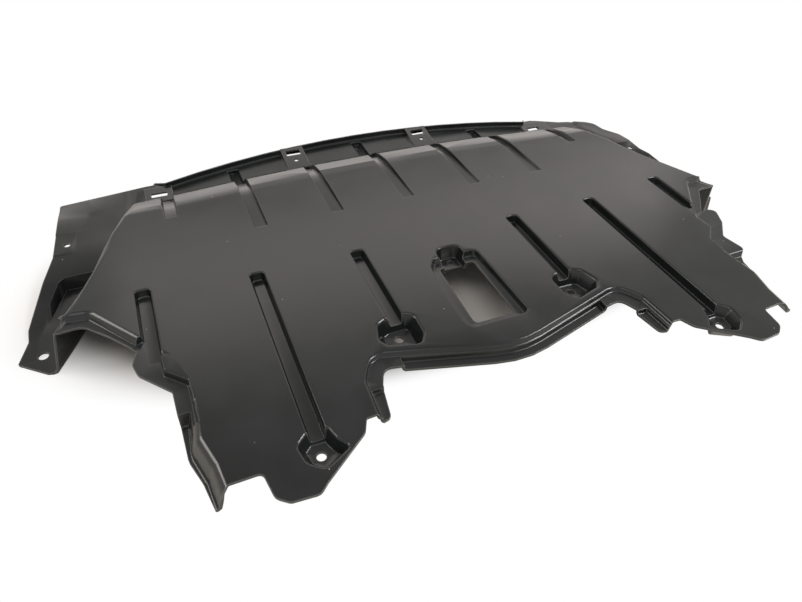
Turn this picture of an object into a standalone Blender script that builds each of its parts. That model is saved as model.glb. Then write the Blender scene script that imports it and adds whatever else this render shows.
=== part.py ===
# Engine splash shield, moulded in one piece, lying road side up.
# Metres, +Z up. X runs across the car, +Y points to the front lip, z = 0 is the floor it lies on.
# The shapes are laid out from the flat deck and a line across it near the middle bolts; mesh_object() then
# moves them so that the feet stand on the floor and the origin is below the middle of the part.

import math

import bmesh
import bpy
from mathutils import Matrix

MM = 0.001

# Wall and edges
WALL = 3.0 * MM
DRAFT = 0.16                  # sideways run of a moulded wall for each unit of depth
EDGE_RADIUS = 2.0 * MM        # rounding where a recess leaves the deck
BROAD_EDGE = 3.5 * MM         # roundings above this are made of more pieces
FLOOR_RADIUS = 2.0 * MM       # rounding at the foot of a recess
ARC_STEP = 32.0               # largest turn between two points of a rounded corner, degrees
BROAD_ARC_STEP = 12.0         # the same for the broad bends of the rear edge
FLATNESS = 1.1                # faces that turn by less than this are joined, degrees

MIDDLE_Y = 196.9 * MM         # middle of the part's length, from the line it is laid out from

# Heights below the deck
FOOT_DROP = 81.0 * MM
WING_DROP = 56.0 * MM
TROUGH_DROP = 36.0 * MM
TROUGH_SAG = 20.0 * MM        # extra drop of the trough at the wing tips
RIM_HEIGHT = 11.0 * MM

# Front half, distances from the centre line and from the datum line y = 0
RIDGE_START = 350.0 * MM
RIDGE_RUN = 154.0 * MM        # from the start of the ridge to its foot
DRAWN_RUN = 154.0             # the same run in the tables below, which placed() fits to RIDGE_RUN
RIDGE_FOOT = RIDGE_START + RIDGE_RUN
RIDGE_POWER = 4
RIDGE_BOW = 18.0 * MM         # how far the ridge sweeps back at the side
TROUGH_RUN = 67.0 * MM        # from the foot of the ridge to the rim
RIM_Y = RIDGE_FOOT + TROUGH_RUN
RIM_BOW = 44.0 * MM           # how far the rim sweeps back at RIM_END
RIM_END = 372.0 * MM          # half width of the upstanding rim
FRONT_EDGE_Y = RIDGE_FOOT + 46.0 * MM     # front edge of the wings
WING_TIP_X = 550.0 * MM
DECK_STATIONS = 6             # columns of the net between the centre line and the side crest
DECK_REAR = -205.0 * MM       # past the rear outline, trimmed away

# Side crest of the deck, (y, x), read between the points; the car's two sides differ a little
LEFT_CREST = ((-205.0, 704.0), (100.0, 590.0), (153.0, 550.0), (185.0, 536.0), (200.0, 526.0),
              (254.0, 499.0), (310.0, 480.0), (373.0, 456.0), (431.0, 437.0), (470.0, 424.0),
              (505.0, 402.0), (600.0, 384.0))
RIGHT_CREST = ((-205.0, 690.0), (100.0, 576.0), (150.0, 538.0), (178.0, 519.0), (202.0, 510.0),
               (233.0, 496.0), (270.0, 479.0), (308.0, 465.0), (349.0, 453.0), (396.0, 437.0),
               (431.0, 426.0), (505.0, 396.0), (600.0, 380.0))

# Section of the side wall: (sideways distance from the crest, share of the drop)
SIDE_SECTION = ((-9.0, 0.0), (-3.5, 0.008), (0.0, 0.035), (2.6, 0.10), (20.0, 0.90), (23.0, 0.975),
                (28.0, 1.0))

BAND_SLOPE = 7.0 * MM         # width of the slope between the two heights of a wing

# Wing stations: (y, drop of the outer band, drop beside the wall, inner edge of the band, outer edge)
LEFT_WING = (
    (165.0, 81.0, 81.0, 590.0, 640.0),
    (205.0, 81.0, 81.0, 592.0, 640.0),
    (240.0, 79.5, 81.0, 592.0, 625.0),
    (268.0, 75.5, 81.0, 583.0, 620.0),
    (316.0, 67.5, 81.0, 566.0, 610.0),
    (342.0, 63.5, 81.0, 557.0, 600.0),
    (351.0, 62.5, 62.5, 553.0, 595.0),
    (405.0, 60.6, 60.2, 538.0, 585.0),
    (408.0, 58.8, 60.1, 537.0, 585.0),
    (459.0, 58.2, 58.2, 525.0, 575.0),
    (462.0, 56.4, 58.1, 524.0, 575.0),
    (500.0, 56.0, 56.0, 508.0, 575.0),
    (524.0, 56.0, 52.5, 503.0, 575.0),
)
RIGHT_WING = (
    (165.0, 81.0, 81.0, 590.0, 640.0),
    (205.0, 81.0, 81.0, 592.0, 640.0),
    (240.0, 79.5, 81.0, 592.0, 625.0),
    (268.0, 75.5, 81.0, 583.0, 620.0),
    (316.0, 64.0, 81.0, 562.0, 610.0),
    (342.0, 57.5, 81.0, 548.0, 600.0),
    (351.0, 55.0, 62.5, 545.0, 595.0),
    (405.0, 53.0, 60.2, 530.0, 585.0),
    (408.0, 52.8, 60.1, 529.0, 585.0),
    (459.0, 52.0, 58.2, 518.0, 575.0),
    (462.0, 52.0, 58.1, 517.0, 575.0),
    (500.0, 50.5, 56.0, 505.0, 575.0),
    (524.0, 50.5, 52.5, 500.0, 575.0),
)

# Ribs pressed into the deck: (middle x, rear end, front end)
CHANNEL_WIDTH = 20.5 * MM
CHANNEL_DEPTH = 13.0 * MM
INNER_CHANNEL = (132.8, 25.0, 184.0)
MIDDLE_CHANNEL = (282.7, -120.0, 184.0)
OUTER_CHANNEL = (434.5, 66.0, 202.0)
RIGHT_CHANNEL_REAR = 103.0    # the right one of the outer pair is shorter
OUTER_CHANNEL_DEPTH = 12.0 * MM

# Grooves over the ridge
GROOVE_PITCH = 124.7 * MM
GROOVE_WIDTH = 20.0 * MM
GROOVE_DRAFT = 1.8 * MM
GROOVE_EDGE = 1.2 * MM        # bevel where a groove leaves the deck
GROOVE_REAR = 292.0 * MM
SHORT_GROOVE_RUN = 14.0 * MM  # from the start of the ridge to the rear end of the outermost grooves
GROOVE_STEP = 3.4 * MM        # depth where a groove begins
GROOVE_DEPTH = 8.0 * MM
PIT_TO_RIM = 10.0 * MM        # flat left between a pit and the rim

# Clip pads at the rim: (middle x, width, slot middle behind the rim, slot length, hole past the ridge foot,
# height at the rim)
INNER_PAD = (130.5, 43.0, 14.6, 15.0, 24.5, 10.6)
OUTER_PAD = (385.5, 47.0, 20.0, 10.0, -12.5, 6.0)
PAD_SLOT_WIDTH = 27.0 * MM
PAD_HOLE = 8.0 * MM
PAD_REAR_GAP = 4.0 * MM

# Bolt pockets: (x, y, depth), and the plan of each pocket from its bolt, (x, y, corner radius)
REAR_BOLT = (284.7, -127.8, 17.0)
REAR_POCKET = ((10.3, 23.8, 2.0), (23.3, 11.8, 9.0), (18.3, -12.2, 11.0), (1.3, -26.2, 9.0),
               (-31.7, -8.2, 5.0), (-20.7, 6.8, 4.0), (-15.2, 23.8, 2.0))
DECK_BOLT = (135.5, 9.5, 22.0)
DECK_POCKET = ((12.5, 23.5, 5.0), (24.5, 17.5, 9.0), (32.5, -9.5, 9.0), (24.5, -22.0, 9.0),
               (-16.5, -34.0, 9.0), (-27.0, -17.5, 9.0), (-28.0, 24.0, 13.0))
POCKET_DRAFT = 0.42
POCKET_EDGE = 3.0 * MM
BOLT_HOLE = 11.5 * MM
SIDE_HOLE_LEFT = (-541.0, 430.0)
SIDE_HOLE_RIGHT = (550.0, 383.5)
SIDE_HOLE = 10.0 * MM
FOOT_HOLE_AT = (582.0, 208.0)
FOOT_HOLE = 14.0 * MM

# Service opening: its ledge, the opening in the ledge and the bolt pocket at its front edge
SERVICE_LEDGE_DROP = 11.0 * MM
SERVICE_LEDGE = ((-50.5, -22.5, 12.0), (42.0, -22.5, 9.0), (39.5, 60.0, 0.0), (37.0, 125.5, 7.0),
                 (-33.0, 125.5, 4.0), (-44.0, 110.0, 4.0), (-49.5, 70.0, 0.0))
SERVICE_WINDOW = ((-33.0, -8.5, 6.0), (29.0, -8.5, 4.0), (27.0, 112.0, 4.0), (13.0, 112.0, 0.0),
                  (12.0, 117.0, 2.0), (-17.0, 117.0, 2.0), (-18.0, 112.0, 0.0), (-29.0, 112.0, 5.0))
SERVICE_SEAT_DROP = 20.0 * MM
SERVICE_POCKET = ((-23.5, 103.0, 3.0), (18.0, 103.0, 3.0), (17.5, 146.0, 11.0), (-23.5, 146.0, 13.0))
SERVICE_POCKET_DRAFT = 0.28
SERVICE_HOLE = (-1.0, 130.5)
SERVICE_BORE = 9.0 * MM

# Lips along the V-shaped rear edge: the fold line, then how far the cuts reach past the outline
CORNER_LIP_DROP = 7.0 * MM
REAR_LIP_DROP = 15.0 * MM
LEG_LIP_DROP = 13.0 * MM
REAR_FOLD = ((211.0, -140.0, 0.0), (207.0, -55.0, 14.0), (187.0, -19.0, 26.0), (0.0, -70.0, 138.0))
REAR_REACH = ((-175.0, -140.0, 0.0), (-165.0, -82.0, 0.0), (0.0, -125.0, 0.0), (165.0, -82.0, 0.0),
              (175.0, -140.0, 0.0))
REAR_LIP_END = 152.0          # where the deeper middle lip stops, from the centre line
REAR_LIP_REACH = (-92.0, -132.0)
LEG_LIP = ((204.0, -70.0, 2.0), (207.3, -140.0, 0.0), (170.0, -140.0, 0.0), (170.0, -70.0, 0.0))

# Lips and flanges of each side: fold lines from front to rear, then the cut beyond the outline
SIDE_LIP_DROP = 10.0 * MM
SIDE_LIP_EDGE = 6.5 * MM
LEFT_LIP = ((525.0, 181.5, 3.0), (504.0, 179.5, 14.0), (448.0, 105.0, 0.0), (442.0, 97.0, 0.0))
LEFT_LIP_END = ((430.0, 80.0, 0.0), (520.0, 120.0, 0.0), (556.0, 150.0, 0.0), (533.5, 181.0, 2.0))
RIGHT_LIP = ((510.0, 173.5, 3.0), (492.0, 170.5, 14.0), (445.0, 105.0, 0.0), (439.0, 97.0, 0.0))
RIGHT_LIP_END = ((430.0, 80.0, 0.0), (512.0, 112.0, 0.0), (543.0, 138.0, 0.0), (518.5, 173.0, 2.0))
LIP_REACH = 42.0              # how far the hollow of a side lip runs on past the crest
FLANGE_FOLD = ((429.0, 118.0, 0.0), (425.0, 45.0, 3.0), (400.5, 20.0, 4.0), (399.0, -46.0, 0.0))
FLANGE_END = ((450.0, -46.0, 0.0), (455.0, 30.0, 0.0), (498.0, 55.0, 0.0), (488.0, 92.0, 0.0),
              (448.0, 112.0, 0.0))
TAIL_FOLD = ((402.0, -16.0, 0.0), (403.0, -32.0, 4.0), (406.0, -68.0, 16.0), (395.5, -106.0, 16.0),
             (389.0, -160.0, 0.0))
TAIL_END = ((450.0, -160.0, 0.0), (460.0, -16.0, 0.0))
TAIL_DRAFT = 0.32
TAIL_EDGE = 7.5 * MM
FLANGE_DROPS = (11.5, 5.0)    # left and right
TAIL_DROPS = (28.0, 15.0)

# Plan outline from front to rear: (x, y, corner radius)
RIM_OUTLINE = ((371.0, 640.0, 0.0), (371.0, 537.0, 0.0), (374.0, 546.0, 3.0))
LEFT_WING_OUTLINE = ((404.0, 549.0, 0.0), (549.0, 548.0, 4.0), (554.0, 500.0, 0.0), (562.0, 409.0, 0.0),
                     (571.0, 374.0, 0.0))
RIGHT_WING_OUTLINE = ((402.0, 549.0, 0.0), (492.0, 527.0, 12.0), (526.0, 508.0, 10.0), (538.0, 495.0, 8.0),
                      (543.0, 470.0, 8.0), (563.0, 440.0, 14.0), (568.0, 413.0, 0.0), (567.0, 374.0, 0.0))
FOOT_OUTLINE = ((600.5, 262.0, 14.0), (600.5, 241.0, 8.0), (613.5, 202.0, 3.0), (577.0, 172.0, 3.0))
LEFT_SIDE_OUTLINE = ((568.0, 169.5, 0.0), (549.0, 164.5, 2.0), (514.0, 167.0, 16.0), (485.0, 137.6, 0.0),
                     (453.5, 98.0, 3.0), (461.0, 76.0, 8.0), (456.0, 57.0, 8.0), (421.5, 17.0, 6.0),
                     (419.5, -74.0, 22.0), (409.5, -106.0, 12.0), (403.0, -143.0, 2.0), (393.0, -143.0, 4.0),
                     (385.0, -136.0, 3.0))
RIGHT_SIDE_OUTLINE = ((562.0, 164.5, 0.0), (535.0, 152.0, 2.0), (504.0, 153.0, 16.0), (479.0, 122.0, 0.0),
                      (456.0, 95.0, 3.0), (474.0, 84.0, 8.0), (459.0, 53.0, 10.0), (431.0, 22.0, 8.0),
                      (437.0, -12.0, 8.0), (424.0, -33.0, 4.0), (420.0, -54.0, 0.0), (406.5, -92.0, 14.0),
                      (403.0, -141.0, 2.0), (394.0, -141.0, 4.0), (380.0, -134.0, 3.0))
REAR_OUTLINE = ((349.5, -135.5, 6.0), (344.5, -168.0, 12.0), (331.0, -178.5, 8.0), (300.0, -180.5, 10.0),
                (289.0, -170.0, 8.0), (233.0, -127.0, 8.0), (225.0, -109.5, 2.0), (213.0, -109.0, 2.0),
                (206.0, -112.5, 5.0), (195.0, -110.0, 8.0), (188.0, -66.0, 10.0), (178.0, -42.5, 12.0),
                (150.0, -47.5, 20.0))
REAR_APEX = (0.0, -88.0, 150.0)

SHIELD_COLOUR = (0.028, 0.027, 0.026, 1.0)
SHIELD_ROUGHNESS = 0.42
PART_NODE = "splash_shield"


def clear_scene():
    for item in list(bpy.data.objects):
        bpy.data.objects.remove(item, do_unlink=True)


def new_collection(name):
    collection = bpy.data.collections.new(name)
    bpy.context.scene.collection.children.link(collection)
    return collection


def moulded_plastic():
    material = bpy.data.materials.new("black_polypropylene")
    material.use_nodes = True
    shader = material.node_tree.nodes["Principled BSDF"]
    shader.inputs["Base Color"].default_value = SHIELD_COLOUR
    shader.inputs["Roughness"].default_value = SHIELD_ROUGHNESS
    shader.inputs["Metallic"].default_value = 0.0
    return material


def between(table, at, column=1):
    """Reads a column of a table of stations at a place between them."""
    if at <= table[0][0]:
        return table[0][column]
    for low, high in zip(table, table[1:]):
        if at <= high[0]:
            share = (at - low[0]) / (high[0] - low[0])
            return low[column] + share * (high[column] - low[column])
    return table[-1][column]


def placed(y):
    """Moves a table's y past the start of the ridge to where it lies for the ridge's own run."""
    start = RIDGE_START / MM
    change = RIDGE_RUN / MM - DRAWN_RUN
    return y + change * min(max((y - start) / DRAWN_RUN, 0.0), 1.0)


def trough_height(x):
    return -TROUGH_DROP - TROUGH_SAG * (x / WING_TIP_X) ** 2


def rim_line(x):
    return RIM_Y - RIM_BOW * (min(abs(x), RIM_END) / RIM_END) ** 2


def ridge_bow(x, share):
    return share * RIDGE_BOW * min(abs(x) / RIM_END, 1.0) ** 2


def ridge_share(y):
    """How far a row between the start and the foot of the ridge has moved into it."""
    return min(max((y - RIDGE_START) / (RIDGE_FOOT - RIDGE_START), 0.0), 1.0)


def deck_height(x, y):
    """Height of the net's deck, ridge and trough at a point, before the side walls."""
    row = y
    for _ in range(4):
        row = y + ridge_bow(x, min(ridge_share(row) * 2.0, 1.0))
    section = [(share, share ** RIDGE_POWER) for share in map(ridge_share, row_list())]
    return trough_height(x) * between(section, ridge_share(row))


def corner_steps(before, corner, after):
    """How many straight pieces a rounded corner is made of."""
    if corner[2] <= 0.0:
        return 0
    first = math.atan2(corner[1] - before[1], corner[0] - before[0])
    second = math.atan2(after[1] - corner[1], after[0] - corner[0])
    turn = abs(math.remainder(second - first, 2.0 * math.pi))
    step = BROAD_ARC_STEP if corner[2] > 50.0 else ARC_STEP
    return max(1, math.ceil(math.degrees(turn) / step - 0.01))


def arc_corner(before, corner, after, steps):
    """Points of a rounded corner, from the line before it to the line after it."""
    ax, ay = before[0] - corner[0], before[1] - corner[1]
    bx, by = after[0] - corner[0], after[1] - corner[1]
    la, lb = math.hypot(ax, ay), math.hypot(bx, by)
    cosine = max(-1.0, min(1.0, (ax * bx + ay * by) / (la * lb)))
    inside = math.acos(cosine)
    turn = math.pi - inside
    if steps == 0:
        return [(corner[0], corner[1])]
    tangent = min(corner[2] / math.tan(inside / 2), 0.45 * la, 0.45 * lb)
    radius = tangent * math.tan(inside / 2)
    start = (corner[0] + ax / la * tangent, corner[1] + ay / la * tangent)
    side = 1.0 if ax * by - ay * bx < 0.0 else -1.0
    centre = (start[0] + side * ay / la * radius, start[1] - side * ax / la * radius)
    first = math.atan2(start[1] - centre[1], start[0] - centre[0])
    points = []
    for step in range(steps + 1):
        angle = first + side * turn * step / steps
        points.append((centre[0] + radius * math.cos(angle), centre[1] + radius * math.sin(angle)))
    return points


def counter_clockwise(corners):
    area = sum(a[0] * b[1] - b[0] * a[1] for a, b in zip(corners, tuple(corners[1:]) + tuple(corners[:1])))
    return list(corners) if area > 0 else list(corners)[::-1]


def grown(corners, distance):
    """Moves a counter-clockwise outline outwards, its corners' radii with it, or inwards below zero."""
    result = []
    count = len(corners)
    for index, (x, y, radius) in enumerate(corners):
        px, py = corners[index - 1][:2]
        nx, ny = corners[(index + 1) % count][:2]
        ax, ay = x - px, y - py
        bx, by = nx - x, ny - y
        la, lb = math.hypot(ax, ay), math.hypot(bx, by)
        ux, uy = ay / la + by / lb, -ax / la - bx / lb
        scale = 2.0 * distance / (ux * ux + uy * uy)
        convex = 1.0 if ax * by - ay * bx > 0.0 else -1.0
        size = max(radius + convex * distance, 0.4) if radius > 0.0 else 0.0
        result.append((x + ux * scale, y + uy * scale, size))
    return result


def outline_loop(corners, distance, z):
    """Closed loop of points in metres, the outline in millimetres moved outwards by a distance in metres."""
    moved = grown(corners, distance / MM)
    count = len(moved)
    points = []
    for index, corner in enumerate(moved):
        after = (index + 1) % count
        steps = corner_steps(corners[index - 1], corners[index], corners[after])
        points += arc_corner(moved[index - 1], corner, moved[after], steps)
    return [(x * MM, y * MM, z) for x, y in points]


def mirrored(corners):
    return tuple((-corner[0],) + tuple(corner[1:]) for corner in corners)


def mesh_object(name, bm, collection):
    """Makes an object of a mesh laid out from the deck, moved to stand on its feet over the origin."""
    bmesh.ops.translate(bm, verts=bm.verts, vec=(0.0, -MIDDLE_Y, FOOT_DROP + WALL))
    mesh = bpy.data.meshes.new(name)
    bm.to_mesh(mesh)
    bm.free()
    item = bpy.data.objects.new(name, mesh)
    collection.objects.link(item)
    return item


def cutter_object(name, bm, collection):
    bmesh.ops.recalc_face_normals(bm, faces=bm.faces)
    bmesh.ops.triangulate(bm, faces=bm.faces)
    item = mesh_object(name, bm, collection)
    item.hide_render = True
    item.display_type = "WIRE"
    return item


def add_stack(bm, loops):
    """Lofts a closed solid through a stack of matching loops of points."""
    rings = [[bm.verts.new(point) for point in loop] for loop in loops]
    count = len(rings[0])
    for low, high in zip(rings, rings[1:]):
        for index in range(count):
            after = (index + 1) % count
            bm.faces.new((low[index], low[after], high[after], high[index]))
    bm.faces.new(rings[0][::-1])
    bm.faces.new(rings[-1])


def add_prism(bm, corners, low, high):
    face = bm.faces.new([bm.verts.new(point) for point in outline_loop(corners, 0.0, low)])
    grown_part = bmesh.ops.extrude_face_region(bm, geom=[face])["geom"]
    verts = [item for item in grown_part if isinstance(item, bmesh.types.BMVert)]
    bmesh.ops.translate(bm, verts=verts, vec=(0.0, 0.0, high - low))


def cavity_loops(outline, surface, floor, draft, edge, above=12.0 * MM):
    """Loops of the hollow of a recess: rounded at its floor and where it leaves the surface."""
    depth = surface - floor
    foot = FLOOR_RADIUS
    inset = draft * depth
    loops = [
        outline_loop(outline, -inset - 0.7 * foot, floor),
        outline_loop(outline, -draft * (depth - 0.8 * foot), floor + 0.8 * foot),
        outline_loop(outline, -draft * edge, surface - edge),
    ]
    if edge > BROAD_EDGE:
        loops.append(outline_loop(outline, edge * 0.10, surface - edge * 0.52))
        loops.append(outline_loop(outline, edge * 0.45, surface - edge * 0.17))
        loops.append(outline_loop(outline, edge * 0.85, surface - edge * 0.02))
    else:
        loops.append(outline_loop(outline, edge * 0.29, surface - edge * 0.29))
    loops.append(outline_loop(outline, edge * 1.15, surface + edge * 0.06))
    loops.append(outline_loop(outline, edge * 1.3, surface + above))
    return loops


def jacket_loops(outline, surface, floor, draft, edge):
    """Loops of the solid that carries the wall of a recess, one wall outside its hollow."""
    depth = surface - floor
    foot = FLOOR_RADIUS + WALL
    base = floor - WALL
    loops = [
        outline_loop(outline, WALL - draft * depth - 0.6 * foot, base),
        outline_loop(outline, WALL - draft * (depth - 0.6 * foot), base + 0.6 * foot),
    ]
    if edge > BROAD_EDGE and edge < depth:
        loops.append(outline_loop(outline, WALL - draft * edge + edge * 0.1, surface - edge))
        loops.append(outline_loop(outline, WALL + edge * 0.75, surface - 0.8 * WALL))
    else:
        loops.append(outline_loop(outline, WALL + edge * 0.4, surface - 0.5 * WALL))
    return loops


def add_recess(jackets, hollows, outline, floor, surface=0.0, draft=DRAFT, edge=EDGE_RADIUS, reach=None):
    """A recess in the sheet; reach is the outline of its hollow where that runs on past the sheet."""
    outline = counter_clockwise(outline)
    add_stack(jackets, jacket_loops(outline, surface, floor, draft, edge))
    hollow = counter_clockwise(reach) if reach else outline
    add_stack(hollows, cavity_loops(hollow, surface, floor, draft, edge))


def both_sides(corners):
    """The outline for the right side and its mirror image for the left."""
    return (tuple(corners), mirrored(corners))


def channel_corners(x, rear, front, radius=5.0):
    half = CHANNEL_WIDTH / MM / 2
    return ((x - half, rear, radius), (x + half, rear, radius), (x + half, front, radius),
            (x - half, front, radius))


# The sheet: a net of stations with the deck, ridge, trough, rim, side walls and wings in one surface

def row_list():
    rows = [DECK_REAR, 60.0 * MM, 150.0 * MM, GROOVE_REAR - 2.0 * MM]
    rows += [placed(station[0]) * MM for station in LEFT_WING]
    rows += [RIDGE_START + RIDGE_RUN * share for share in (0.18, 0.50, 0.80, 0.86, 0.915, 0.96, 1.0)]
    rows.append(RIDGE_FOOT + 8.0 * MM)
    return sorted(row for row in rows if row <= RIDGE_FOOT + 8.0 * MM)


def net_row(y, crests, wing):
    """Half a row of the net behind the rim, from the centre line to past the wing's edge."""
    crests = [(placed(place), x) for place, x in crests]
    wing = [(placed(station[0]),) + station[1:] for station in wing]
    crest = between(crests, y / MM) * MM
    share = ridge_share(y)
    settle = min(share * 2.0, 1.0)
    points = []
    inner = crest + SIDE_SECTION[0][0] * MM
    for step in range(DECK_STATIONS):
        x = inner * step / DECK_STATIONS
        points.append((x, y - ridge_bow(x, settle), trough_height(x) * share ** RIDGE_POWER))
    side_z = -between(wing, y / MM, 2) * MM
    band_z = -between(wing, y / MM, 1) * MM
    for offset, part in SIDE_SECTION:
        x = crest + offset * MM
        deck_z = trough_height(x) * share ** RIDGE_POWER
        bow = ridge_bow(inner, settle) * (1.0 - part)
        points.append((x, y - bow, deck_z + part * (side_z - deck_z)))
    edge = between(wing, y / MM, 3) * MM
    outer = between(wing, y / MM, 4) * MM
    if y < wing[0][0] * MM:
        edge = crest + 50.0 * MM
        outer = crest + 90.0 * MM
    points.append((edge - BAND_SLOPE, y, side_z))
    points.append((edge, y, band_z))
    points.append((outer, y, band_z))
    return points


def rim_row(back, rise, crests, wing):
    """Half a row of the rim: back from its front face, and its height above the trough."""
    points = []
    for index, (x, _, _) in enumerate(net_row(RIDGE_FOOT + 8.0 * MM, crests, wing)):
        standing = index <= DECK_STATIONS
        if standing:
            x = RIM_END * index / DECK_STATIONS
            points.append((x, rim_line(x) - back, trough_height(x) + rise))
        else:
            points.append((x, FRONT_EDGE_Y + 8.0 * MM - back * 2.0, trough_height(x)))
    return points


def whole_row(make, *where):
    """A row of the net from the left wing to the right one."""
    left = make(*where, LEFT_CREST, LEFT_WING)
    right = make(*where, RIGHT_CREST, RIGHT_WING)
    return [(-x, y, z) for x, y, z in reversed(left[1:])] + right


def shield_sheet(collection):
    rows = [whole_row(net_row, y) for y in row_list()]
    for back, rise in ((6.0, 0.0), (2.6, 1.0), (1.4, 3.4), (0.0, RIM_HEIGHT / MM)):
        rows.append(whole_row(rim_row, back * MM, rise * MM))
    bm = bmesh.new()
    net = [[bm.verts.new(point) for point in row] for row in rows]
    for low, high in zip(net, net[1:]):
        for column in range(len(low) - 1):
            bm.faces.new((low[column], low[column + 1], high[column + 1], high[column]))
    bmesh.ops.recalc_face_normals(bm, faces=bm.faces)
    if sum(face.normal.z for face in bm.faces) < 0.0:
        bmesh.ops.reverse_faces(bm, faces=bm.faces)
    sheet = mesh_object(PART_NODE, bm, collection)
    solid = sheet.modifiers.new("wall", "SOLIDIFY")
    solid.thickness = WALL
    solid.offset = -1.0
    solid.use_even_offset = True
    sheet.modifiers.new("flat_faces", "TRIANGULATE")
    return sheet


def add_channels(jackets, hollows):
    for x, rear, front in (INNER_CHANNEL, MIDDLE_CHANNEL):
        for outline in both_sides(channel_corners(x, rear, front)):
            add_recess(jackets, hollows, outline, -CHANNEL_DEPTH)
    x, rear, front = OUTER_CHANNEL
    for outline in (channel_corners(x, RIGHT_CHANNEL_REAR, front), channel_corners(-x, rear, front)):
        add_recess(jackets, hollows, outline, -OUTER_CHANNEL_DEPTH)


def groove_floor(x, rear, front):
    """Side view of a groove's floor as (y, z), from its rear end to its front end."""
    run = RIDGE_FOOT - RIDGE_START
    rows = [rear, 0.5 * (rear + RIDGE_START)]
    rows += [RIDGE_START + run * share for share in (0.3, 0.5, 0.7, 0.82, 0.91)]
    rows = [y for y in rows if rear <= y < front - 4.0 * MM]
    if front > RIDGE_FOOT + 6.0 * MM:
        rows += [RIDGE_FOOT - ridge_bow(x, 1.0), RIDGE_FOOT + 6.0 * MM]
    rows.append(front)
    points = []
    for y in rows:
        ramp = min((y - rear) / (RIDGE_FOOT - 60.0 * MM - rear), 1.0)
        points.append((y, deck_height(x, y) - GROOVE_STEP - (GROOVE_DEPTH - GROOVE_STEP) * ramp))
    return points


def add_groove(jackets, hollows, x, rear, front):
    floor = groove_floor(x, rear, front)
    wall = GROOVE_DRAFT / GROOVE_DEPTH
    half = GROOVE_WIDTH / 2

    def closed(at, lower, inset):
        upper = [(at, y, deck_height(x, y) + 10.0 * MM) for y, _ in reversed(floor)]
        upper[0] = (at, lower[-1][0] + 2.0 * MM, upper[0][2])
        upper[-1] = (at, lower[0][0] - 2.0 * MM, upper[-1][2])
        lower = [(at, y, z) for y, z in lower]
        lower[0] = (at, lower[0][1] + inset, lower[0][2])
        lower[-1] = (at, lower[-1][1] - inset, lower[-1][2])
        return lower + upper

    def floor_loop(side):
        return closed(x + side * (half - GROOVE_DRAFT), floor, 0.0)

    def wall_loop(side):
        lower = [(y, min(z + GROOVE_DEPTH, deck_height(x, y) - GROOVE_EDGE)) for y, z in floor]
        return closed(x + side * (half - wall * GROOVE_EDGE), lower, 0.6 * MM)

    def edge_loop(side):
        lower = [(y, deck_height(x, y) + 0.7 * GROOVE_EDGE) for y, _ in floor]
        return closed(x + side * (half + GROOVE_EDGE), lower, 1.2 * MM)

    def jacket_loop(side, lift):
        at = x + side * (half - GROOVE_DRAFT + WALL + wall * lift)
        lower = [(at, y, z - WALL + lift) for y, z in floor]
        lower[0] = (at, lower[0][1] - WALL, lower[0][2])
        lower[-1] = (at, lower[-1][1] + WALL, lower[-1][2])
        upper = [(at, y, deck_height(x, y) - 0.4 * WALL) for y, _ in reversed(floor)]
        upper[0] = (at, upper[0][1] + WALL + 1.0 * MM, upper[0][2])
        upper[-1] = (at, upper[-1][1] - WALL - 1.0 * MM, upper[-1][2])
        return lower + upper

    add_stack(hollows, [edge_loop(-1.0), wall_loop(-1.0), floor_loop(-1.0),
                        floor_loop(1.0), wall_loop(1.0), edge_loop(1.0)])
    add_stack(jackets, [jacket_loop(-1.0, 0.8 * MM), jacket_loop(-1.0, 0.0),
                        jacket_loop(1.0, 0.0), jacket_loop(1.0, 0.8 * MM)])


def add_grooves(jackets, hollows):
    for step in (-3, -2, -1, 0, 1, 2, 3):
        x = step * GROOVE_PITCH
        if step in (-2, 0, 2):
            add_groove(jackets, hollows, x, GROOVE_REAR, rim_line(x) - PIT_TO_RIM)
        elif step in (-1, 1):
            add_groove(jackets, hollows, x, GROOVE_REAR, RIDGE_FOOT - 4.0 * MM)
        else:
            add_groove(jackets, hollows, x, RIDGE_START + SHORT_GROOVE_RUN,
                       RIDGE_FOOT - RIDGE_BOW - 2.0 * MM)


def add_pockets(jackets, hollows):
    """Bolt pockets with flared walls, wider towards the centre line where the driver comes in."""
    for bolt, plan in ((REAR_BOLT, REAR_POCKET), (DECK_BOLT, DECK_POCKET)):
        corners = tuple((bolt[0] + x, bolt[1] + y, radius) for x, y, radius in plan)
        for outline in both_sides(corners):
            add_recess(jackets, hollows, outline, -bolt[2] * MM, draft=POCKET_DRAFT, edge=POCKET_EDGE)


def add_bore(holes, x, y, diameter, low, high=10.0 * MM, sides=20):
    """An upright bore; its middle is given in millimetres."""
    place = Matrix.Translation((x * MM, y * MM, 0.5 * (low + high)))
    bmesh.ops.create_cone(holes, cap_ends=True, segments=sides, radius1=diameter / 2, radius2=diameter / 2,
                          depth=high - low, matrix=place)


def add_service_opening(ledge, pocket, holes):
    """A ledged opening below the filter, with one bolt pocket at its front edge."""
    add_recess(*ledge, SERVICE_LEDGE, -SERVICE_LEDGE_DROP)
    add_recess(*pocket, SERVICE_POCKET, -SERVICE_SEAT_DROP, draft=SERVICE_POCKET_DRAFT)
    add_prism(holes, SERVICE_WINDOW, -40.0 * MM, -5.0 * MM)


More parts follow.
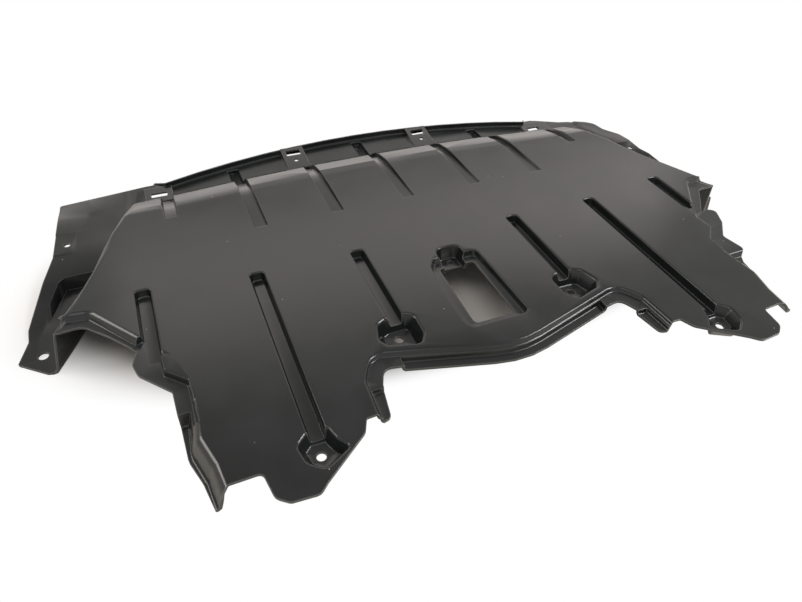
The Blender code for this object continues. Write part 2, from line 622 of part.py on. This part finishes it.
def add_rear_lips(corner, rear, leg):
    """The V-shaped rear edge folds down in two steps; the legs beside it get one more."""
    line = list(REAR_FOLD) + list(mirrored(REAR_FOLD[:-1]))[::-1]
    add_recess(*corner, line + list(REAR_REACH), -CORNER_LIP_DROP, edge=3.0 * MM)
    step = (DRAFT * CORNER_LIP_DROP + FLOOR_RADIUS) / MM + 0.5
    end = REAR_LIP_END
    inner = [(end, fold_height(end) - step, 0.0), (0.0, fold_height(0.0) - step, 130.0),
             (-end, fold_height(end) - step, 0.0)]
    outer = [(-end, REAR_LIP_REACH[0], 0.0), (0.0, REAR_LIP_REACH[1], 0.0), (end, REAR_LIP_REACH[0], 0.0)]
    add_recess(*rear, inner + outer, -REAR_LIP_DROP, surface=-CORNER_LIP_DROP, edge=0.6 * MM)
    for outline in both_sides(LEG_LIP):
        add_recess(*leg, outline, -LEG_LIP_DROP, surface=-CORNER_LIP_DROP, edge=0.6 * MM)


def fold_height(x):
    """The y of the rear fold line at a distance from the centre line."""
    high, low = REAR_FOLD[2], REAR_FOLD[3]
    return low[1] + (high[1] - low[1]) * x / high[0]


def add_side_flanges(lip, flange, tail):
    """The folded edges of each side: the lip by the foot, the flange and the deeper tail behind it."""
    for side, fold, end in ((0, LEFT_LIP, LEFT_LIP_END), (1, RIGHT_LIP, RIGHT_LIP_END)):
        corner = end[-1]
        front = (corner[0] + LIP_REACH, corner[1] + 9.0, 0.0)
        reach = (front,) + fold + end[:2] + ((corner[0] + LIP_REACH, end[1][1] + 20.0, 0.0),)
        plans = (fold + end, reach, FLANGE_FOLD + FLANGE_END, TAIL_FOLD + TAIL_END)
        if side == 0:
            plans = tuple(mirrored(plan) for plan in plans)
        add_recess(*lip, plans[0], -SIDE_LIP_DROP, edge=SIDE_LIP_EDGE, reach=plans[1])
        add_recess(*flange, plans[2], -FLANGE_DROPS[side] * MM)
        add_recess(*tail, plans[3], -TAIL_DROPS[side] * MM, draft=TAIL_DRAFT, edge=TAIL_EDGE)


def add_pads(pads, undercuts, holes):
    """Ramps from the foot of the ridge up to the rim, each with a slot and a hole for a clip."""
    for pad in (INNER_PAD, OUTER_PAD):
        for side in (1.0, -1.0):
            x, half = side * pad[0] * MM, pad[1] * MM / 2
            trough = trough_height(x)
            rear = RIDGE_FOOT - ridge_bow(x, 1.0) + PAD_REAR_GAP
            front = rim_line(x) + 0.5 * WALL
            low, high = trough + 0.6 * MM, trough + pad[5] * MM
            slope = (high - low) / (front - rear)
            base = trough - 0.45 * WALL
            section = [(rear, base), (rear, low), (front, high), (front, base)]
            skirt = [(rear, base), (rear, base + 0.5 * MM), (front, base + 0.5 * MM), (front, base)]
            spread = 2.0 * MM
            across = ((-half - spread, skirt), (-half, section), (half, section), (half + spread, skirt))
            add_stack(pads, [[(x + shift, y, z) for y, z in profile] for shift, profile in across])
            start, end = rear + 4.0 * WALL, front - 1.2 * WALL
            under = [(start, -0.090), (start, low + slope * (start - rear) - WALL),
                     (end, low + slope * (end - rear) - WALL), (end, -0.090)]
            inner = half - WALL
            add_stack(undercuts, [[(x + shift, y, z) for y, z in under] for shift in (-inner, inner)])
            centre, length, width = rim_line(x) / MM - pad[2], pad[3], PAD_SLOT_WIDTH / MM
            left, right = x / MM - width / 2, x / MM + width / 2
            back, ahead = centre - length / 2, centre + length / 2
            slot = ((left, back, 1.5), (right, back, 1.5), (right, ahead, 1.5), (left, ahead, 1.5))
            add_prism(holes, slot, -80.0 * MM, 0.0)
            add_bore(holes, x / MM, RIDGE_FOOT / MM + pad[4], PAD_HOLE, -80.0 * MM, sides=14)


def add_bolt_holes(holes):
    for side in (1.0, -1.0):
        for x, y, _ in (REAR_BOLT, DECK_BOLT):
            add_bore(holes, side * x, y, BOLT_HOLE, -60.0 * MM)
        add_bore(holes, side * FOOT_HOLE_AT[0], FOOT_HOLE_AT[1], FOOT_HOLE, -100.0 * MM)
    add_bore(holes, SERVICE_HOLE[0], SERVICE_HOLE[1], SERVICE_BORE, -60.0 * MM, sides=16)
    for x, y in (SIDE_HOLE_LEFT, SIDE_HOLE_RIGHT):
        add_bore(holes, x, placed(y), SIDE_HOLE, -80.0 * MM, sides=16)


def plan_outline():
    """The whole edge of the moulding seen from above, the front open past the rim."""
    left = mirrored(RIM_OUTLINE + LEFT_WING_OUTLINE + FOOT_OUTLINE + LEFT_SIDE_OUTLINE + REAR_OUTLINE)
    right = RIM_OUTLINE + RIGHT_WING_OUTLINE + FOOT_OUTLINE + RIGHT_SIDE_OUTLINE + REAR_OUTLINE
    corners = left + (REAR_APEX,) + right[::-1]
    return tuple((x, placed(y), radius) for x, y, radius in corners)


def boolean(target, cutter, operation):
    modifier = target.modifiers.new(cutter.name, "BOOLEAN")
    modifier.operation = operation
    modifier.object = cutter
    modifier.solver = "EXACT"
    return modifier


def tidy_mesh(item):
    """Joins the flat pieces that the cuts leave, so each flat face is covered by few triangles."""
    flat = item.modifiers.new("flat_pieces", "DECIMATE")
    flat.decimate_type = "DISSOLVE"
    flat.angle_limit = math.radians(FLATNESS)
    weld = item.modifiers.new("close_points", "WELD")
    weld.merge_threshold = 0.0001
    item.modifiers.new("triangles", "TRIANGULATE")


def build():
    clear_scene()
    parts = new_collection("engine_splash_shield")
    cutters = new_collection("cutters")

    # Solids that overlap go to different groups, so each group is a clean set of closed bodies
    groups = [(bmesh.new(), bmesh.new()) for _ in range(3)]
    first, second, third = groups
    pads, undercuts, holes = bmesh.new(), bmesh.new(), bmesh.new()
    add_channels(*first)
    add_grooves(*first)
    add_pockets(*second)
    add_service_opening(first, third, holes)
    add_rear_lips(first, second, third)
    add_side_flanges(third, second, first)
    add_pads(pads, undercuts, holes)
    add_bolt_holes(holes)
    edge = bmesh.new()
    add_prism(edge, counter_clockwise(plan_outline()), -150.0 * MM, 50.0 * MM)

    shield = shield_sheet(parts)
    steps = [("jackets_" + str(index + 1), group[0], "UNION") for index, group in enumerate(groups)]
    steps += [("hollows_" + str(index + 1), group[1], "DIFFERENCE") for index, group in enumerate(groups)]
    steps += [("pads", pads, "UNION"), ("undercuts", undercuts, "DIFFERENCE"),
              ("holes", holes, "DIFFERENCE"), ("plan_edge", edge, "INTERSECT")]
    for name, bm, operation in steps:
        boolean(shield, cutter_object(name, bm, cutters), operation)
    tidy_mesh(shield)
    shield.data.materials.append(moulded_plastic())
    return shield


build()
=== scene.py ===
import math
import bmesh
import bpy
from mathutils import Matrix, Vector


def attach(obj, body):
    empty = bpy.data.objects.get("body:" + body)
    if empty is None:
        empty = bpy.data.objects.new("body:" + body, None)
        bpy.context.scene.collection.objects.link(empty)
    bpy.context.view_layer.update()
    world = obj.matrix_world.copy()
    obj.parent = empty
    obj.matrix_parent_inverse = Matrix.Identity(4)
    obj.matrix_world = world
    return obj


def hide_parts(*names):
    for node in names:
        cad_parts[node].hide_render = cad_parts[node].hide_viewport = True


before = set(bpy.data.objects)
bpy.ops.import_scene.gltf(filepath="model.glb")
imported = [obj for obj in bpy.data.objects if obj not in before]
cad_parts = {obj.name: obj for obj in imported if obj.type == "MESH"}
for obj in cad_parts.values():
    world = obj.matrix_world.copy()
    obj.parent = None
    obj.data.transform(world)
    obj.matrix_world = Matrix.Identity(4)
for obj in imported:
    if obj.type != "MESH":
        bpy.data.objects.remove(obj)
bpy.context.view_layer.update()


def linearColour(hexText):
    # sRGB hex to the linear values that the shaders take
    values = [int(hexText[i:i + 2], 16) / 255 for i in (0, 2, 4)]
    return tuple(v / 12.92 if v <= 0.04045 else ((v + 0.055) / 1.055) ** 2.4 for v in values) + (1.0,)


def addNode(tree, kind, settings=None, links=None, **attributes):
    # settings are socket values, links are socket name to (node, output name)
    node = tree.nodes.new(kind)
    for name, value in attributes.items():
        setattr(node, name, value)
    for name, value in (settings or {}).items():
        node.inputs[name].default_value = value
    for name, (source, output) in (links or {}).items():
        tree.links.new(source.outputs[output], node.inputs[name])
    return node


# Camera, from the fit of the channels, the rear edge and the rim in the photograph
camera = dict(
    place=(-0.3701, -0.7009, 0.6440),
    turnedRight=24.561,
    lookingDown=42.246,
    roll=2.615,
    focalPixels=613.35,
    imageWidth=802,
    sensorWidth=36,        # in millimetres, as on a full frame camera
    nearest=0.01,
)


def addCamera():
    c = camera
    turn, down, roll = (math.radians(c[k]) for k in ("turnedRight", "lookingDown", "roll"))
    forward = Vector((math.sin(turn) * math.cos(down), math.cos(turn) * math.cos(down), -math.sin(down)))
    right = Vector((math.cos(turn), -math.sin(turn), 0))
    up = right.cross(forward)
    level = Matrix((right, up, -forward)).transposed()
    data = bpy.data.cameras.new("photoCamera")
    data.sensor_width = c["sensorWidth"]
    data.lens = c["focalPixels"] / c["imageWidth"] * c["sensorWidth"]
    data.clip_start = c["nearest"]
    cam = bpy.data.objects.new("photoCamera", data)
    bpy.context.scene.collection.objects.link(cam)
    cam.matrix_world = Matrix.Translation(c["place"]) @ (level @ Matrix.Rotation(roll, 3, "Z")).to_4x4()
    bpy.context.scene.camera = cam


addCamera()
print("camera set")


# Black polypropylene, injection moulded against a polished steel tool. It is satin: soft reflections
# of the window, slow swells where the melt has flowed, a fine grain that only shows close up, a painted
# highlight along the outer edges that also stands for rubbing from handling, and a few specks of dust.
shieldPlastic = dict(
    colour="141716",
    colourWorn="1c201f",
    patchSize=0.07,
    patchRange=(0.3, 0.7),  # where the noise of the patches goes from plain to worn
    roughness=0.22,
    roughnessSpread=0.05,
    ior=1.49,
    grainSize=0.0016,      # real grain is near 0.4 mm, drawn coarser so that it shows
    grainHeight=0.00003,
    swellSize=0.16,
    swellHeight=0.00035,
    wingFrom=0.43,         # the wings start here, as a distance from the middle
    wingFull=0.45,
    wingHeights=(0.014, 0.019, 0.034, 0.045),  # fades in over the first two and out over the last two
    crownMiddle=0.245,     # the wings' shading is crowned along Y about this line
    crownReach=0.13,
    crownTilt=0.22,        # lean of the normal at the ends of the reach, near 12 degrees
    edgeRadius=0.0012,     # the tool's corners are not sharp, and each edge catches a thin line of light
    roundSamples=8,
    edgeReach=0.0022,      # less than the 3 mm wall, so that only outer edges get the painted highlight and wear
    edgeRange=(0.92, 0.45),  # open share inside the wall, from plain to the full painted highlight and wear
    edgeSamples=12,
    # painted highlight colour of the outer edges, partly rubbed wear
    edgeHighlightAndWearColour="7c7b77",
    edgeHighlightAndWearShare=0.5,
    speckSpacing=0.022,
    speckSize=0.035,       # radius as a share of the spacing, near 0.8 mm
    speckShare=0.22,       # share of the specks that are there at all
    speckColour="9a9992",
)


def mouldedPolypropylene():
    s = shieldPlastic
    material = bpy.data.materials.new("mouldedBlackPolypropylene")
    material.use_nodes = True
    tree = material.node_tree
    tree.nodes.clear()
    output = addNode(tree, "ShaderNodeOutputMaterial")
    shader = addNode(tree, "ShaderNodeBsdfPrincipled", {"IOR": s["ior"]})
    tree.links.new(shader.outputs["BSDF"], output.inputs["Surface"])
    place = addNode(tree, "ShaderNodeTexCoord")

    # slow patches, where the surface is a little duller and paler
    plainEnd, wornEnd = s["patchRange"]
    patches = addNode(tree, "ShaderNodeTexNoise", {"Scale": 1 / s["patchSize"], "Detail": 2.0},
                      {"Vector": (place, "Object")})
    paler = addNode(tree, "ShaderNodeMapRange", {"From Min": plainEnd, "From Max": wornEnd},
                    {"Value": (patches, "Fac")}, interpolation_type="SMOOTHSTEP")
    plain = addNode(tree, "ShaderNodeMix",
                    {"A": linearColour(s["colour"]), "B": linearColour(s["colourWorn"])},
                    {"Factor": (paler, "Result")}, data_type="RGBA")

    # outer edges painted pale, a painted highlight that also stands for rubbed wear: rays inside the wall
    # that soon meet another face
    reach = addNode(tree, "ShaderNodeAmbientOcclusion", {"Distance": s["edgeReach"]},
                    inside=True, only_local=True, samples=s["edgeSamples"])
    paleEdgeHighlightAndWear = addNode(tree, "ShaderNodeMapRange",
                     {"From Min": s["edgeRange"][0], "From Max": s["edgeRange"][1],
                      "To Min": 0.0, "To Max": s["edgeHighlightAndWearShare"]}, {"Value": (reach, "AO")})
    edgeHighlightedAndWorn = addNode(tree, "ShaderNodeMix", {"B": linearColour(s["edgeHighlightAndWearColour"])},
                    {"A": (plain, "Result"), "Factor": (paleEdgeHighlightAndWear, "Result")}, data_type="RGBA")

    # dust: a speck in some of the cells of a loose scatter
    cells = addNode(tree, "ShaderNodeTexVoronoi", {"Scale": 1 / s["speckSpacing"]},
                    {"Vector": (place, "Object")})
    small = addNode(tree, "ShaderNodeMath", {1: s["speckSize"]}, {0: (cells, "Distance")},
                    operation="LESS_THAN")
    drawn = addNode(tree, "ShaderNodeSeparateColor", None, {"Color": (cells, "Color")})
    kept = addNode(tree, "ShaderNodeMath", {1: s["speckShare"]}, {0: (drawn, "Red")}, operation="LESS_THAN")
    speck = addNode(tree, "ShaderNodeMath", None, {0: (small, "Value"), 1: (kept, "Value")},
                    operation="MULTIPLY")
    dusty = addNode(tree, "ShaderNodeMix", {"B": linearColour(s["speckColour"])},
                    {"A": (edgeHighlightedAndWorn, "Result"), "Factor": (speck, "Value")}, data_type="RGBA")
    tree.links.new(dusty.outputs["Result"], shader.inputs["Base Color"])

    gloss = addNode(tree, "ShaderNodeMapRange",
                    {"From Min": plainEnd, "From Max": wornEnd,
                     "To Min": s["roughness"] - s["roughnessSpread"] / 2,
                     "To Max": s["roughness"] + s["roughnessSpread"] / 2}, {"Value": (patches, "Fac")})
    tree.links.new(gloss.outputs["Result"], shader.inputs["Roughness"])

    # a noise cell holds one rise and one dip, so a grain is half of it
    grain = addNode(tree, "ShaderNodeTexNoise", {"Scale": 1 / s["grainSize"] / 2, "Detail": 2.0},
                    {"Vector": (place, "Object")})
    swell = addNode(tree, "ShaderNodeTexNoise", {"Scale": 1 / s["swellSize"], "Detail": 1.0},
                    {"Vector": (place, "Object")})
    rounding = addNode(tree, "ShaderNodeBevel", {"Radius": s["edgeRadius"]}, samples=s["roundSamples"])

    # the wings are nearly flat in the mesh, so their crown is only shading: the normal leans along Y
    axes = addNode(tree, "ShaderNodeSeparateXYZ", None, {0: (place, "Object")})
    aside = addNode(tree, "ShaderNodeMath", None, {0: (axes, "X")}, operation="ABSOLUTE")
    outer = addNode(tree, "ShaderNodeMapRange", {"From Min": s["wingFrom"], "From Max": s["wingFull"]},
                    {"Value": (aside, "Value")}, interpolation_type="SMOOTHSTEP")
    bottom, full, upper, top = s["wingHeights"]
    above = addNode(tree, "ShaderNodeMapRange", {"From Min": bottom, "From Max": full},
                    {"Value": (axes, "Z")}, interpolation_type="SMOOTHSTEP")
    below = addNode(tree, "ShaderNodeMapRange", {"From Min": top, "From Max": upper},
                    {"Value": (axes, "Z")}, interpolation_type="SMOOTHSTEP")
    level = addNode(tree, "ShaderNodeMath", None, {0: (above, "Result"), 1: (below, "Result")},
                    operation="MULTIPLY")
    wing = addNode(tree, "ShaderNodeMath", None, {0: (level, "Value"), 1: (outer, "Result")},
                   operation="MULTIPLY")
    along = addNode(tree, "ShaderNodeMapRange",
                    {"From Min": s["crownMiddle"] - s["crownReach"],
                     "From Max": s["crownMiddle"] + s["crownReach"],
                     "To Min": -s["crownTilt"], "To Max": s["crownTilt"]}, {"Value": (axes, "Y")})
    lean = addNode(tree, "ShaderNodeMath", None, {0: (along, "Result"), 1: (wing, "Value")},
                   operation="MULTIPLY")
    leaning = addNode(tree, "ShaderNodeCombineXYZ", None, {"Y": (lean, "Value")})
    leant = addNode(tree, "ShaderNodeVectorMath", None, {0: (rounding, "Normal"), 1: (leaning, "Vector")},
                    operation="ADD")
    crowned = addNode(tree, "ShaderNodeVectorMath", None, {0: (leant, "Vector")}, operation="NORMALIZE")
    swellBump = addNode(tree, "ShaderNodeBump", {"Strength": 1.0, "Distance": s["swellHeight"]},
                        {"Height": (swell, "Fac"), "Normal": (crowned, "Vector")})
    grainBump = addNode(tree, "ShaderNodeBump", {"Strength": 1.0, "Distance": s["grainHeight"]},
                        {"Height": (grain, "Fac"), "Normal": (swellBump, "Normal")})
    tree.links.new(grainBump.outputs["Normal"], shader.inputs["Normal"])
    return material


shieldShell = dict(
    mergeDistance=0.00001,
    sharpAngle=50.0,
    areaWeight=50,         # how far large faces pull the shading their way
)


def addShield():
    # the visible shell is the solid's own mesh, merged so that it shades smoothly
    s = shieldShell
    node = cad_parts["splash_shield"]
    bm = bmesh.new()
    bm.from_mesh(node.data)
    bmesh.ops.remove_doubles(bm, verts=bm.verts, dist=s["mergeDistance"])
    for face in bm.faces:
        face.smooth = True
    for edge in bm.edges:
        if len(edge.link_faces) == 2:
            edge.smooth = edge.calc_face_angle() < math.radians(s["sharpAngle"])
    mesh = bpy.data.meshes.new("shieldShell")
    bm.to_mesh(mesh)
    bm.free()
    shell = bpy.data.objects.new("shieldShell", mesh)
    bpy.context.scene.collection.objects.link(shell)
    weighted = shell.modifiers.new("evenShading", "WEIGHTED_NORMAL")
    weighted.mode = "FACE_AREA_WITH_ANGLE"
    weighted.keep_sharp = True
    weighted.weight = s["areaWeight"]
    mesh.materials.append(mouldedPolypropylene())
    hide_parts("splash_shield")
    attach(shell, "root")
    return shell


shell = addShield()
print("shield made,", len(shell.data.polygons), "faces")


# White photographic table in a room with white walls and a dim ceiling. A long window stands high
# behind the table: its lower edge is what ends the sheen near the ridge. The gloss sees walls that darken
# upward, and the left window and the overhead bank draw the thin bright lines along the edges.
studio = dict(
    floorColour="fbf5ec",
    floorSize=14.0,
    shadowCentre=(0.0, 0.10, 0.0),
    shadowHalf=(0.62, 0.30, 1.0),  # the table takes its shadow in this oval
    shadowFade=(0.86, 1.08),       # and turns to plain white paper between these shares of it
    ambient=0.30,
    wallTint="fffaf8",
    walls=(
        # sine of the height above the horizon, brightness there
        (0.0, 1.0), (0.28, 0.95), (0.42, 0.72), (0.60, 0.72), (0.78, 0.58), (1.0, 0.45),
    ),
    lamps=(
        # name, place, aims at, size across and along, watts, colour
        ("backWindow", (1.65, 3.0, 2.70), (1.65, 0.0, 2.70), (5.1, 1.25), 24.9, "fff5f2"),
        ("lowBank", (1.0, 4.6, 0.62), (1.0, 0.0, 0.62), (6.0, 0.8), 15.0, "fff4ef"),
        ("leftWindow", (-2.1, 0.75, 1.4), (0.0, 0.0, 0.05), (1.1, 0.7), 17.0, "fffaf4"),
        ("overheadBank", (-0.7, -0.9, 2.1), (0.0, 0.0, 0.05), (1.8, 0.8), 9.0, "ffffff"),
        ("rightKey", (2.3, -1.1, 2.3), (0.0, 0.0, 0.05), (1.3, 1.3), 80.0, "ffffff"),
    ),
)


def addFloor():
    s = studio
    bm = bmesh.new()
    bmesh.ops.create_grid(bm, x_segments=1, y_segments=1, size=s["floorSize"] / 2)
    mesh = bpy.data.meshes.new("studioFloor")
    bm.to_mesh(mesh)
    bm.free()
    floor = bpy.data.objects.new("studioFloor", mesh)
    bpy.context.scene.collection.objects.link(floor)
    material = bpy.data.materials.new("whiteTable")
    material.use_nodes = True
    tree = material.node_tree
    tree.nodes.clear()
    output = addNode(tree, "ShaderNodeOutputMaterial")
    matte = addNode(tree, "ShaderNodeBsdfDiffuse", {"Color": linearColour(s["floorColour"])})
    paper = addNode(tree, "ShaderNodeEmission", {"Color": linearColour("ffffff"), "Strength": 1.0})
    rays = addNode(tree, "ShaderNodeLightPath")
    place = addNode(tree, "ShaderNodeTexCoord")
    oval = addNode(tree, "ShaderNodeMapping",
                   {"Location": s["shadowCentre"], "Scale": s["shadowHalf"]},
                   {"Vector": (place, "Object")}, vector_type="TEXTURE")
    away = addNode(tree, "ShaderNodeVectorMath", None, {0: (oval, "Vector")}, operation="LENGTH")
    blend = addNode(tree, "ShaderNodeMapRange",
                    {"From Min": s["shadowFade"][0], "From Max": s["shadowFade"][1]},
                    {"Value": (away, "Value")}, interpolation_type="SMOOTHSTEP")
    seen = addNode(tree, "ShaderNodeMath", None, {0: (rays, "Is Camera Ray"), 1: (blend, "Result")},
                   operation="MULTIPLY")
    mix = addNode(tree, "ShaderNodeMixShader", None,
                  {0: (seen, "Value"), 1: (matte, "BSDF"), 2: (paper, "Emission")})
    tree.links.new(mix.outputs["Shader"], output.inputs["Surface"])
    mesh.materials.append(material)


def addLamps():
    for name, place, aim, size, watts, colour in studio["lamps"]:
        data = bpy.data.lights.new(name, "AREA")
        data.shape = "RECTANGLE"
        data.size, data.size_y = size
        data.energy = watts
        data.color = linearColour(colour)[:3]
        lamp = bpy.data.objects.new(name, data)
        bpy.context.scene.collection.objects.link(lamp)
        lamp.location = place
        lamp.rotation_euler = (Vector(aim) - Vector(place)).to_track_quat("-Z", "Y").to_euler()


def addRoom():
    # the camera sees plain white, gloss sees the walls, and all other light is the dim ambient
    world = bpy.data.worlds.new("studioWorld")
    bpy.context.scene.world = world
    world.use_nodes = True
    tree = world.node_tree
    tree.nodes.clear()
    output = addNode(tree, "ShaderNodeOutputWorld")
    rays = addNode(tree, "ShaderNodeLightPath")
    room = addNode(tree, "ShaderNodeBackground",
                   {"Color": linearColour("ffffff"), "Strength": studio["ambient"]})
    place = addNode(tree, "ShaderNodeTexCoord")
    height = addNode(tree, "ShaderNodeSeparateXYZ", None, {0: (place, "Generated")})
    walls = addNode(tree, "ShaderNodeValToRGB", None, {"Fac": (height, "Z")})
    stops = walls.color_ramp.elements
    while len(stops) < len(studio["walls"]):
        stops.new(1.0)
    tint = linearColour(studio["wallTint"])
    for stop, (up, bright) in zip(stops, studio["walls"]):
        stop.position = up
        stop.color = [bright * channel for channel in tint[:3]] + [1.0]
    white = addNode(tree, "ShaderNodeVectorMath", None,
                    {0: (walls, "Color"), 1: (rays, "Is Camera Ray")}, operation="MAXIMUM")
    paper = addNode(tree, "ShaderNodeBackground", {"Strength": 1.0}, {"Color": (white, "Vector")})
    straight = addNode(tree, "ShaderNodeMath", None,
                       {0: (rays, "Is Camera Ray"), 1: (rays, "Is Glossy Ray")}, operation="MAXIMUM")
    through = addNode(tree, "ShaderNodeMath", None,
                      {0: (straight, "Value"), 1: (rays, "Is Transmission Ray")}, operation="MAXIMUM")
    mix = addNode(tree, "ShaderNodeMixShader", None,
                  {0: (through, "Value"), 1: (room, "Background"), 2: (paper, "Background")})
    tree.links.new(mix.outputs["Shader"], output.inputs["Surface"])


addFloor()
addLamps()
addRoom()
bpy.context.scene.view_settings.view_transform = "Standard"
print("studio set")
